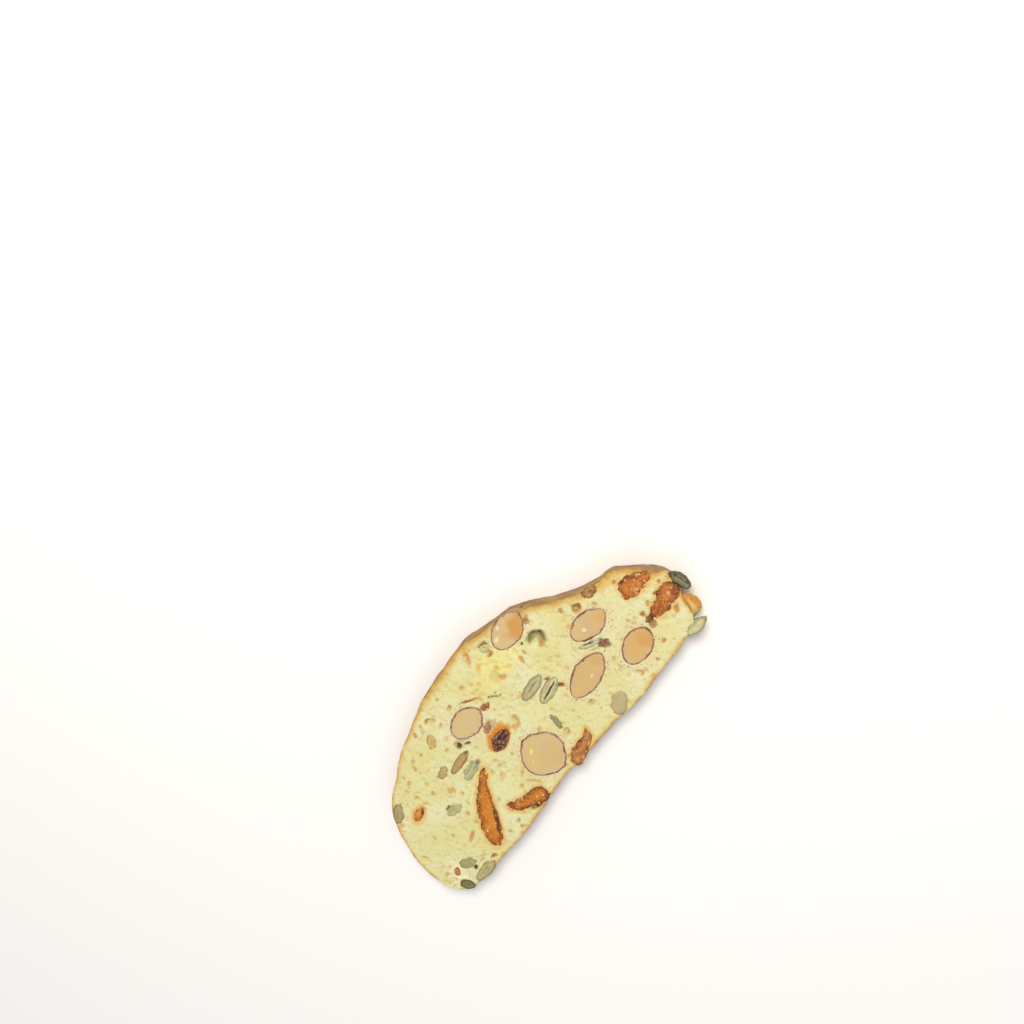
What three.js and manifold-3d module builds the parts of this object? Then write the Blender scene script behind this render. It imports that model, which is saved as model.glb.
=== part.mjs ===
// One slice of biscotti, cut from a twice-baked loaf and lying on its plain cut face.
// The pale crumb holds almonds, pumpkin seeds, strips of dried apricot, raisins and flakes of almond skin,
// each in a pocket of its own. Millimetres, +Z up: X runs along the slice, Y from its base to its dome.
import * as THREE from "three";
import { mergeVertices } from "three/addons/utils/BufferGeometryUtils.js";
import Module from "manifold-3d";

const wasm = await Module();
wasm.setup();

// Driving dimensions: the thickness between the cuts, the room round each piece that the crumb holds,
// and the crust, whose edge is rounded and whose foot leans in, most of all under the shoulder
const THICKNESS = 6.8;
const GAP = 0.34;
const EDGE_ROUND = 0.35;
const LEAN_IN = 0.45;
const SHOULDER = { at: [55.2, 0.4], reach: 8, leanIn: 2.5 };
const BROKEN_END = { at: [-57.5, -19], reach: 9, rough: 0.9, seed: 7 };

// Lumps of the baked crust: how high, how close together along it, and how they twist on the way down
const LUMPS = [
  { height: 0.2, rate: 0.83, twist: 2.1 },
  { height: 0.13, rate: 1.97, twist: -3.3 },
  { height: 0.07, rate: 2.9, twist: 5 },
];
const OUTLINE_POINTS = 116;
const CRUST_RINGS = 4;

// Crumb that broke away at the end: where the hollows lie and how wide they are
const BITES = [
  { at: [-60.6, -17.6, 5.6], radius: 1.5 },
  { at: [-58.4, -22.2, 6.6], radius: 1.3 },
  { at: [-56.2, -24.2, 3.6], radius: 1.4 },
  { at: [-60.4, -20.6, 2.6], radius: 1.7 },
  { at: [-61.4, -13.4, 3.4], radius: 1.4 },
  { at: [-57.2, -18.6, 7.4], radius: 1.2 },
];

// Lobes of dough that baked into a knob at the other end
const LOBES = [
  { at: [56.6, -18.0, 3.5], radius: 2.0 },
  { at: [56.1, -19.7, 3.2], radius: 2.6 },
];

// The edge of the slice: up the broken end, over the dome to the knobbly end, and back along the base
const OUTLINE = [
  [-55.3, -23.2],
  [-59.0, -19.8],
  [-60.2, -15.5],
  [-59.2, -7.5],
  [-56.6, 0.0],
  [-52.6, 6.9],
  [-46.2, 12.4],
  [-38.8, 15.7],
  [-31.0, 18.8],
  [-22.0, 21.1],
  [-12.0, 23.1],
  [-1.0, 23.8],
  [8.0, 23.4],
  [15.5, 21.3],
  [23.0, 18.9],
  [30.0, 14.7],
  [36.1, 9.7],
  [41.5, 6.4],
  [46.5, 4.9],
  [51.5, 3.9],
  [55.6, 0.6],
  [58.6, -5.0],
  [60.0, -9.4],
  [59.7, -12.6],
  [57.4, -14.8],
  [56.0, -16.8],
  [56.0, -19.2],
  [54.6, -21.6],
  [50.4, -23.1],
  [40.0, -24.0],
  [27.5, -24.6],
  [13.9, -23.6],
  [0.0, -23.0],
  [-10.0, -22.8],
  [-21.0, -24.2],
  [-36.0, -24.4],
  [-49.0, -24.1],
];

// Kernels: at is the middle of the cut that shows, size its length and width, turn its angle in degrees,
// point how sharp its tip is, sink how far the kernel's middle lies under that face, reach its half depth,
// and lean how far it shifts sideways for each millimetre of depth
const ALMONDS = [
  { at: [-4.5, -13.8], size: [14.3, 13.2], turn: 8, point: 0.2, sink: 2.2, reach: 6.6, lean: [0.25, -0.1] },
  { at: [35.1, -0.6], size: [12.4, 7.1], turn: -7.6, point: 0.35, sink: 1.6, reach: 6.0, lean: [-0.2, 0.2] },
  { at: [23.4, -9.1], size: [16.8, 7.7], turn: 8.2, point: 0.6, sink: 2.6, reach: 6.4, lean: [0.1, 0.25] },
  { at: [38.8, -14.6], size: [12.0, 7.6], turn: 12.3, point: 0.25, sink: 3.0, reach: 6.2, lean: [0.3, -0.1] },
  { at: [19.3, 15.9], size: [12.6, 7.8], turn: 7.8, point: 0.15, sink: 1.2, reach: 6.3, lean: [-0.35, 0.3] },
  { at: [-11.3, 8.7], size: [11.5, 7.9], turn: -2.3, point: 0.1, sink: 2.0, reach: 6.2, lean: [-0.2, -0.25] },
];

const SEEDS = [
  { at: [10.0, 0.6], size: [9.6, 3.4], turn: 4.8, point: 0.4, lean: [0.1, 0.3] },
  { at: [12.4, -3.5], size: [9.2, 3.7], turn: 10, point: 0.4, lean: [0.0, 0.25] },
  { at: [11.0, 17.7], size: [3.3, 2.5], turn: -28, point: 0.1, lean: [0.2, -0.4] },
  { at: [-23.1, 13.3], size: [4.6, 2.7], turn: 39.6, point: 0.3, lean: [-0.3, 0.1] },
  { at: [-28.9, 5.2], size: [4.4, 2.4], turn: 17.8, point: 0.3, lean: [-0.5, 0.3] },
  { at: [-22.6, 3.3], size: [9.6, 2.3], turn: 4.0, point: 0.5, lean: [0.1, 0.35] },
  { at: [-22.6, -0.7], size: [8.3, 3.1], turn: 5.2, point: 0.4, lean: [0.0, -0.3] },
  { at: [-49.0, 7.9], size: [6.4, 3.2], turn: 34, point: 0.3, lean: [0.0, -0.1] },
  { at: [-36.7, -4.3], size: [5.9, 3.2], turn: -9.9, point: 0.4, lean: [0.3, 0.2] },
  { at: [-48.8, -17.4], size: [5.4, 3.6], turn: -35, point: 0.3, lean: [-0.2, 0.1] },
  { at: [-46.8, -22.8], size: [9.3, 3.2], turn: 1.0, point: 0.4, lean: [0.1, 0.2] },
  { at: [-54.8, -21.6], size: [4.2, 2.8], turn: -56.6, point: 0.4, lean: [0.2, 0.3] },
  { at: [60.4, -12.2], size: [6.0, 2.9], turn: 92, point: 0.3, lean: [-0.15, 0.0] },
  { at: [52.9, -23.4], size: [6.6, 3.0], turn: -5, point: 0.4, lean: [0.1, 0.1] },
  { at: [30.6, -4.3], size: [6.5, 1.6], turn: -28.2, point: 0.5, lean: [0.1, 0.1] },
  { at: [21.9, -20.8], size: [7.4, 4.6], turn: 26.6, point: 0.2, lean: [-0.1, 0.2] },
  { at: [5.9, -10.4], size: [5.2, 1.5], turn: 70.5, point: 0.4, lean: [0.1, 0.1] },
];
const SEED_SINK = 0.9;
const SEED_REACH = 2.3;

// Strips of dried apricot, each by the outline of its cut and how far it drifts on the way through the slice
const APRICOTS = [
  {
    cut: [[-19.5, -3.2], [-23.4, -7.0], [-27.3, -12.0], [-31.5, -17.2], [-35.4, -20.8],
      [-38.1, -20.9], [-38.3, -18.0], [-34.6, -12.4], [-29.6, -7.8], [-24.0, -4.6]],
    drift: [-0.8, 1.0],
  },
  {
    cut: [[-25.2, -15.4], [-21.3, -16.8], [-17.0, -18.0], [-13.9, -19.0], [-14.0, -22.4], [-17.6, -22.7],
      [-22.0, -20.6], [-25.3, -17.6]],
    drift: [1.4, 0.6],
  },
  {
    cut: [[47.8, -2.5], [49.2, 0.2], [50.8, -0.2], [54.1, -1.3], [57.4, -4.9], [55.6, -5.3], [52.6, -5.6],
      [49.8, -5.4], [47.6, -4.1]],
    drift: [-1.2, -0.8],
  },
  {
    cut: [[47.9, -12.0], [52.2, -10.4], [56.8, -9.0], [58.4, -10.8], [58.5, -13.2], [57.4, -14.2],
      [53.7, -14.2], [50.4, -14.5], [48.5, -13.4]],
    drift: [-1.0, 1.0],
  },
  {
    cut: [[-1.2, -21.3], [-0.2, -20.0], [2.4, -19.3], [5.8, -19.5], [9.9, -18.5], [8.2, -21.0],
      [4.8, -22.5], [1.6, -23.4], [-0.9, -23.2]],
    drift: [0.8, 0.5],
  },
  {
    cut: [[-48.0, 2.4], [-45.4, 4.2], [-42.7, 4.1], [-43.6, 2.3], [-46.2, 1.8]],
    drift: [0.5, -0.6],
  },
];
const STRIP = { narrowing: 0.4, wrinkle: 0.16, rings: 3, spacing: 1.7 };

// Raisins, and the flakes of almond skin and brown fruit that lie loose in the crumb
const RAISINS = [
  { at: [-9.1, -2.0], size: [7.7, 4.5], turn: 9.2, point: 0.0, sink: 1.4, reach: 3.0, lean: [0.2, -0.2] },
];
const FLAKES = [
  { at: [42.6, 4.7], size: [4.4, 2.7], turn: -8.6, point: 0.0, sink: 0.7, reach: 1.7, lean: [0, 0] },
  { at: [-3.4, 7.4], size: [3.1, 2.2], turn: 0, point: 0.3, sink: 0.5, reach: 1.4, lean: [0.3, 0] },
  { at: [-8.7, 3.3], size: [3.4, 2.0], turn: 20, point: 0.3, sink: 0.5, reach: 1.4, lean: [0.2, 0.3] },
  { at: [33.6, -6.9], size: [3.4, 1.5], turn: -20, point: 0.3, sink: 0.6, reach: 1.5, lean: [0.2, 0.1] },
  { at: [46.7, -12.3], size: [2.5, 1.9], turn: 10, point: 0.2, sink: 0.5, reach: 1.3, lean: [0, 0] },
  { at: [-53.2, -16.6], size: [2.8, 1.6], turn: 31, point: 0.3, sink: 0.5, reach: 1.3, lean: [0, 0] },
];

// What shows on the underside alone
const UNDER_SEEDS = [
  { at: [-40.5, 8.0], size: [8.8, 3.2], turn: 52, point: 0.4, lean: [0.2, 0.1] },
  { at: [4.0, 12.6], size: [9.2, 3.6], turn: -24, point: 0.4, lean: [0.1, -0.2] },
  { at: [-31.5, -19.0], size: [7.6, 2.8], turn: 12, point: 0.4, lean: [0.0, 0.2] },
  { at: [9.5, -8.0], size: [8.6, 3.0], turn: 71, point: 0.4, lean: [0.3, 0.0] },
  { at: [47.5, -19.0], size: [7.4, 3.0], turn: -18, point: 0.4, lean: [-0.1, 0.1] },
];
const UNDER_RAISINS = [
  { at: [-46.0, -8.5], size: [8.6, 5.2], turn: -35, point: 0.0, sink: 1.3, reach: 2.9, lean: [0.1, 0.2] },
];
const UNDER_FLAKES = [
  { at: [-24.0, 11.5], size: [3.6, 2.0], turn: 64, point: 0.3, sink: 0.5, reach: 1.4, lean: [0.2, 0] },
];

// Air pockets that the knife opened in the shown face: size across, turn and depth
const OPEN_PORES = [
  { at: [22.5, 8.3], size: [5.4, 4.9], turn: 20, deep: 2.3 },
  { at: [36.7, 5.2], size: [2.6, 2.0], turn: -20, deep: 1.0 },
  { at: [-18.2, 17.2], size: [3.1, 1.9], turn: 12, deep: 0.9 },
  { at: [-11.2, 15.3], size: [3.2, 1.2], turn: 8, deep: 0.7 },
  { at: [5.3, 10.2], size: [5.2, 4.0], turn: 30, deep: 0.8 },
  { at: [-19.0, 7.2], size: [2.4, 1.6], turn: 30, deep: 1.2 },
  { at: [4.9, -14.6], size: [2.6, 1.5], turn: 15, deep: 0.9 },
  { at: [53.5, -16.0], size: [2.4, 1.6], turn: 40, deep: 0.8 },
  { at: [-2.0, -1.6], size: [3.4, 2.2], turn: 60, deep: 0.6 },
  { at: [17.4, -15.4], size: [2.2, 1.5], turn: 10, deep: 0.8 },
  { at: [-44.4, -19.3], size: [2.0, 1.2], turn: 0, deep: 0.9 },
  { at: [4.4, 20.4], size: [4.6, 1.4], turn: 12, deep: 0.6 },
  { at: [-33.5, 13.0], size: [2.0, 1.3], turn: 35, deep: 0.7 },
  { at: [27.5, 2.6], size: [2.2, 1.4], turn: -40, deep: 0.7 },
  { at: [30.0, -18.0], size: [1.9, 1.4], turn: 10, deep: 0.7 },
  { at: [-43.0, -6.0], size: [1.9, 1.5], turn: 75, deep: 0.7 },
];
const PORE_FACETS = { around: 7, down: 4 };

// Small pores are strewn over both faces inside an area, and the most tries at placing them are stated too
const SMALL_PORES = {
  count: 28,
  smallest: 0.9,
  largest: 2.3,
  clearance: 1.2,
  depthShare: 0.45,
  area: [60, 24],
  tries: 4000,
  seed: 41,
};

// Facets of each kind of piece, and how wrinkled it is
const ALMOND_FORM = { around: 14, along: 8, wobble: 0.035 };
const SEED_FORM = { around: 7, along: 5, wobble: 0.03 };
const RAISIN_FORM = { around: 9, along: 7, wobble: 0.1 };
const FLAKE_FORM = { around: 6, along: 4, wobble: 0.08 };

const LOOKS = {
  crumb: { color: 0xe2dba4, roughness: 0.9 },
  almond: { color: 0xdcc27a, roughness: 0.5 },
  pumpkin_seed: { color: 0xb4ac80, roughness: 0.55 },
  apricot: { color: 0xc4782c, roughness: 0.45 },
  raisin: { color: 0x5a2e1c, roughness: 0.5 },
  skin_flake: { color: 0x8a5030, roughness: 0.7 },
};

// A repeatable stream of numbers between 0 and 1
function randomStream(seed) {
  let state = seed;
  return () => {
    state = (Math.imul(state, 1664525) + 1013904223) >>> 0;
    return state / 4294967296;
  };
}

function solidOf(geometry) {
  const bare = geometry.clone();
  bare.deleteAttribute("normal");
  bare.deleteAttribute("uv");
  const merged = mergeVertices(bare, 1e-4);
  return new wasm.Manifold(
    new wasm.Mesh({
      numProp: 3,
      vertProperties: merged.attributes.position.array,
      triVerts: new Uint32Array(merged.index.array),
    }),
  );
}

function geometryOf(solid) {
  const mesh = solid.getMesh();
  const geometry = new THREE.BufferGeometry();
  geometry.setAttribute("position", new THREE.BufferAttribute(mesh.vertProperties, 3));
  geometry.setIndex(new THREE.BufferAttribute(mesh.triVerts, 1));
  geometry.computeVertexNormals();
  return geometry;
}

function moveVertices(geometry, move) {
  const position = geometry.attributes.position;
  const point = new THREE.Vector3();
  for (let i = 0; i < position.count; i++) {
    move(point.fromBufferAttribute(position, i));
    position.setXYZ(i, point.x, point.y, point.z);
  }
  return geometry;
}

// The largest piece of a solid, without the scraps that a cut can leave
function largestOf(solid) {
  return solid.decompose().reduce((best, one) => (one.volume() > best.volume() ? one : best));
}

const KNIFE_WIDTH = 200;
const betweenTheCuts = solidOf(
  new THREE.BoxGeometry(KNIFE_WIDTH, KNIFE_WIDTH, THICKNESS).translate(0, 0, THICKNESS / 2),
);

function smoothCurve(points) {
  const through = points.map(([x, y]) => new THREE.Vector3(x, y, 0));
  return new THREE.CatmullRomCurve3(through, true, "centripetal");
}

// Points at even spacing round a closed smooth curve through the given ones
function smoothLoop(points, count) {
  const loop = smoothCurve(points).getSpacedPoints(count).slice(0, count);
  return loop.map((p) => new THREE.Vector2(p.x, p.y));
}

function outwardNormals(loop) {
  const side = THREE.ShapeUtils.isClockWise(loop) ? -1 : 1;
  return loop.map((_, i) => {
    const before = loop[(i + loop.length - 1) % loop.length];
    const after = loop[(i + 1) % loop.length];
    const along = after.clone().sub(before).normalize();
    return new THREE.Vector2(along.y * side, -along.x * side);
  });
}

// An outline extruded to the thickness, whose every ring can be pushed out along the outline's normals
function extrudedLoop(loop, rings, depth, push) {
  const normals = outwardNormals(loop);
  const distance = (p, q) => Math.hypot(p.x - q.x, p.y - q.y);
  const closer = (p) => (best, q, i) => (distance(p, q) < distance(p, loop[best]) ? i : best);
  const geometry = new THREE.ExtrudeGeometry(new THREE.Shape(loop), {
    depth,
    steps: rings,
    bevelEnabled: false,
  });
  return moveVertices(geometry, (p) => {
    const i = loop.reduce(closer(p), 0);
    const out = push(i, p.z / depth);
    p.x += normals[i].x * out;
    p.y += normals[i].y * out;
  });
}

// From 1 at the middle of a place to 0 at its reach
function falloff(point, { at, reach }) {
  const distance = Math.hypot(point.x - at[0], point.y - at[1]) / reach;
  return distance < 1 ? (1 - distance * distance) ** 2 : 0;
}

// How far the crust's foot lies inside its top edge
function footLean(point) {
  return LEAN_IN + SHOULDER.leanIn * falloff(point, SHOULDER);
}

// The baked loaf between two knife cuts: lumpy crust, a shoulder that leans in and one broken end
function loafSlice() {
  const loop = smoothLoop(OUTLINE, OUTLINE_POINTS);
  const random = randomStream(BROKEN_END.seed);
  const crag = loop.map(() => Array.from({ length: CRUST_RINGS + 1 }, () => 2 * random() - 1));
  const geometry = extrudedLoop(loop, CRUST_RINGS, THICKNESS, (i, level) => {
    const ring = Math.round(level * CRUST_RINGS);
    const heights = LUMPS.map(({ height, rate, twist }) => height * Math.sin(i * rate + twist * level));
    const lumps = heights.reduce((sum, height) => sum + height, 0);
    const crags = BROKEN_END.rough * falloff(loop[i], BROKEN_END) * crag[i][ring];
    const edge = ring === 0 || ring === CRUST_RINGS ? EDGE_ROUND / 2 : 0;
    return lumps + crags - edge - footLean(loop[i]) * (1 - level);
  });
  const inner = THICKNESS / CRUST_RINGS - EDGE_ROUND;
  return moveVertices(geometry, (p) => {
    const ring = Math.round((p.z / THICKNESS) * CRUST_RINGS);
    if (ring === 1) p.z -= inner;
    if (ring === CRUST_RINGS - 1) p.z += inner;
  });
}

// A kernel with its blunt end at -X and its tip at +X, one unit to each side of its middle
function kernelGeometry(point, around, along) {
  const profile = [];
  for (let i = 0; i <= along; i++) {
    const share = (1 - Math.cos((Math.PI * i) / along)) / 2;
    const radius = i === 0 || i === along ? 0 : Math.sin(Math.PI * share) ** (0.5 + point * share);
    profile.push(new THREE.Vector2(radius, 2 * share - 1));
  }
  return new THREE.LatheGeometry(profile, around).rotateZ(-Math.PI / 2);
}

// A kernel set in the slice so that the cut at its face has the stated place and size.
// grow swells it evenly, for the pocket it lies in; under sets it in the underside.
function kernelSolid(piece, { around, along, wobble, grow = 0, under = false }) {
  const { at, size, turn, point, lean, sink = SEED_SINK, reach = SEED_REACH } = piece;
  const shareAtFace = Math.sqrt(1 - (sink / reach) ** 2);
  const half = [size[0] / 2 / shareAtFace + grow, size[1] / 2 / shareAtFace + grow, reach + grow];
  const phase = at[0] + at[1];
  const geometry = moveVertices(kernelGeometry(point, around, along), (p) => {
    const angle = Math.atan2(p.z, p.y);
    const wave = Math.sin(3 * angle + 4 * p.x + phase) + 0.7 * Math.sin(5 * p.x - 2 * angle + 2 * phase);
    const swell = 1 + wobble * wave * Math.hypot(p.y, p.z);
    p.set(p.x * half[0], p.y * half[1] * swell, p.z * half[2]);
    p.z -= sink;
    p.x += lean[0] * p.z;
    p.y += lean[1] * p.z;
    if (under) p.z = -p.z;
    p.applyAxisAngle(new THREE.Vector3(0, 0, 1), THREE.MathUtils.degToRad(turn));
    p.x += at[0];
    p.y += at[1];
    p.z += under ? 0 : THICKNESS;
  });
  return solidOf(under ? turnedInsideOut(geometry) : geometry);
}

// The same triangles facing the other way, after a mirroring
function turnedInsideOut(geometry) {
  const index = geometry.index;
  for (let i = 0; i < index.count; i += 3) {
    const second = index.getX(i + 1);
    index.setX(i + 1, index.getX(i + 2));
    index.setX(i + 2, second);
  }
  return geometry;
}

// A strip that runs through the slice, narrowing a little and drifting sideways from the shown face down
function stripSolid({ cut, drift }, grow = 0) {
  const count = Math.round(smoothCurve(cut).getLength() / STRIP.spacing);
  const loop = smoothLoop(cut, count);
  const depth = THICKNESS + 2 * grow;
  const geometry = extrudedLoop(loop, STRIP.rings, depth, (i, level) => {
    return grow - STRIP.narrowing * (1 - level) + STRIP.wrinkle * Math.sin(2.4 * i + 4 * level);
  });
  const drifted = moveVertices(geometry, (p) => {
    const downward = 1 - p.z / depth;
    p.x += drift[0] * downward;
    p.y += drift[1] * downward;
    p.z -= grow;
  });
  return solidOf(drifted);
}

function poreSolid({ at, size, turn, deep }, face) {
  const geometry = new THREE.SphereGeometry(1, PORE_FACETS.around, PORE_FACETS.down);
  geometry.rotateX(Math.PI / 2);
  geometry.scale(size[0] / 2, size[1] / 2, deep);
  geometry.rotateZ(THREE.MathUtils.degToRad(turn));
  geometry.translate(at[0], at[1], face);
  return solidOf(geometry);
}

// Every piece held by the crumb, with its own solid and the pocket it lies in. Numbers of a kind run on.
const held = [];
function hold(kind, pieces, solidWith) {
  for (const piece of pieces) {
    const number = held.filter((other) => other.kind === kind).length + 1;
    held.push({ kind, name: kind + "_" + number, solid: solidWith(piece, 0), pocket: solidWith(piece, GAP) });
  }
}
const kernelWith = (form, under) => (piece, grow) => kernelSolid(piece, { ...form, under, grow });

hold("almond", ALMONDS, kernelWith(ALMOND_FORM, false));
hold("apricot", APRICOTS, stripSolid);
hold("raisin", RAISINS, kernelWith(RAISIN_FORM, false));
hold("pumpkin_seed", SEEDS, kernelWith(SEED_FORM, false));
hold("skin_flake", FLAKES, kernelWith(FLAKE_FORM, false));
hold("raisin", UNDER_RAISINS, kernelWith(RAISIN_FORM, true));
hold("pumpkin_seed", UNDER_SEEDS, kernelWith(SEED_FORM, true));
hold("skin_flake", UNDER_FLAKES, kernelWith(FLAKE_FORM, true));

const group = new THREE.Group();
function addNode(kind, name, solid) {
  const material = new THREE.MeshStandardMaterial({ ...LOOKS[kind], metalness: 0 });
  const mesh = new THREE.Mesh(geometryOf(solid), material);
  mesh.name = name;
  group.add(mesh);
}

// Where two pieces would touch, the later one gives way by the gap
held.forEach((piece, i) => {
  const trimmed = held
    .slice(0, i)
    .filter((other) => piece.solid.intersect(other.pocket).volume() > 0)
    .reduce((rest, other) => rest.subtract(other.pocket), piece.solid.intersect(betweenTheCuts));
  addNode(piece.kind, piece.name, largestOf(trimmed));
});

function isInside(loop, x, y) {
  const crossings = loop.filter((p, i) => {
    const q = loop[(i + 1) % loop.length];
    return p.y > y !== q.y > y && x < p.x + ((y - p.y) / (q.y - p.y)) * (q.x - p.x);
  });
  return crossings.length % 2 === 1;
}

// Small pores strewn over both faces, clear of the crust, of each other and of the pieces
function strewnPores() {
  const { count, smallest, largest, clearance, depthShare, area, tries, seed } = SMALL_PORES;
  const random = randomStream(seed);
  const loop = smoothLoop(OUTLINE, OUTLINE_POINTS);
  const boxes = held.map(({ pocket }) => pocket.boundingBox());
  const pores = [];
  const clearOfBox = (x, y) => (box) =>
    x < box.min[0] - clearance ||
    x > box.max[0] + clearance ||
    y < box.min[1] - clearance ||
    y > box.max[1] + clearance;
  const clearOfPore = (x, y) => (pore) => Math.hypot(pore.at[0] - x, pore.at[1] - y) > 2 * largest;
  const clearOfCrust = (x, y) => (p) => Math.hypot(p.x - x, p.y - y) > largest;
  for (let i = 0; pores.length < count && i < tries; i++) {
    const x = area[0] * (2 * random() - 1);
    const y = area[1] * (2 * random() - 1);
    const across = smallest + (largest - smallest) * random() ** 2;
    const size = [across, across * (0.6 + 0.35 * random())];
    const turn = 180 * random();
    const isFree =
      isInside(loop, x, y) &&
      loop.every(clearOfCrust(x, y)) &&
      boxes.every(clearOfBox(x, y)) &&
      [...OPEN_PORES, ...pores].every(clearOfPore(x, y));
    if (isFree) pores.push({ at: [x, y], size, turn, deep: across * depthShare });
  }
  return pores;
}

let crumb = solidOf(loafSlice());
for (const { at, radius } of LOBES) {
  crumb = crumb.add(solidOf(new THREE.IcosahedronGeometry(radius, 2).translate(...at)));
}
for (const { at, radius } of BITES) {
  crumb = crumb.subtract(solidOf(new THREE.IcosahedronGeometry(radius, 1).translate(...at)));
}
for (const { pocket } of held) crumb = crumb.subtract(pocket);
for (const pore of OPEN_PORES) crumb = crumb.subtract(poreSolid(pore, THICKNESS));
strewnPores().forEach((pore, i) => {
  crumb = crumb.subtract(poreSolid(pore, i % 2 ? THICKNESS : 0));
});
addNode("crumb", "crumb", largestOf(crumb));

// The origin lies under the middle of the slice's box
const box = new THREE.Box3().setFromObject(group);
const middle = box.getCenter(new THREE.Vector3());
group.position.set(-middle.x, -middle.y, -box.min.z);

export default group;
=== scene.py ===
import math
from collections import namedtuple
from itertools import product

import bpy
import numpy as np
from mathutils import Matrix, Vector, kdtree


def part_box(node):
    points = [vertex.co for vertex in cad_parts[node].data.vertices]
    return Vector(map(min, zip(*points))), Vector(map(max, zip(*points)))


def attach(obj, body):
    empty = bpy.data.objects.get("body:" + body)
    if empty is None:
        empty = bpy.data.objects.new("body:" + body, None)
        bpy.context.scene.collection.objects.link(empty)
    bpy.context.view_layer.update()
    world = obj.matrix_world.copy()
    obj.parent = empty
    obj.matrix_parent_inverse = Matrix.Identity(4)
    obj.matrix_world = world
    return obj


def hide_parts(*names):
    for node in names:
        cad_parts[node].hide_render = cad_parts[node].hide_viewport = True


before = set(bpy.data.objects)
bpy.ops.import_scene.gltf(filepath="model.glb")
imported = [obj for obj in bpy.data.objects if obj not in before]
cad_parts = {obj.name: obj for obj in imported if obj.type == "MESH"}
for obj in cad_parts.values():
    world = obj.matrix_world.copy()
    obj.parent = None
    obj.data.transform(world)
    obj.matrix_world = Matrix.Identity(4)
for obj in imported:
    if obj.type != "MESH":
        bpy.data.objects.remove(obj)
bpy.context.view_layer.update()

# The crumb
# A loaf of sweet egg dough was baked, sliced while warm and dried in the oven again. The knife leaves two
# flat, pale, dry faces full of opened air cells; the thin crust of the first baking runs round the edge.
# One end broke off rough. Sizes are in millimetres unless a name says otherwise.
MM = 0.001
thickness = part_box("crumb")[1].z / MM
crumb_grain = 0.352
proud = 0.15
broken_end = (-58.4, -18.6)
broken_reach = 9.0
knob_middle = (58.4, -17.6)

# How the crust is told from the walls of the pockets: the point that bearings are taken round, how many
# bearings and levels there are, how far the crust leans, and how close a pocket's wall is to the piece in
# it. Then how much of the pockets' walls is kept, and in how many rounds the crust is evened.
slice_middle = (0.0, -6.0)
wall_bearings = 720
wall_levels = 9
wall_lean = 3.6
pocket_gap = 2.5
pocket_wall_share = 0.61
wall_rounds = 45
beside_rounds = 6

# How level a surface is, from 0 to 1: below the first it is a wall, above the second a cut face
wall_facing = 0.85
cut_facing = 0.72

# Small air cells, strewn over a rectangle that covers each face
air_cells = {"count": 2600, "smallest": 0.3, "largest": 0.95, "toasted_share": 0.13, "seed": 3}
half_length, half_width = 62, 26

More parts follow.
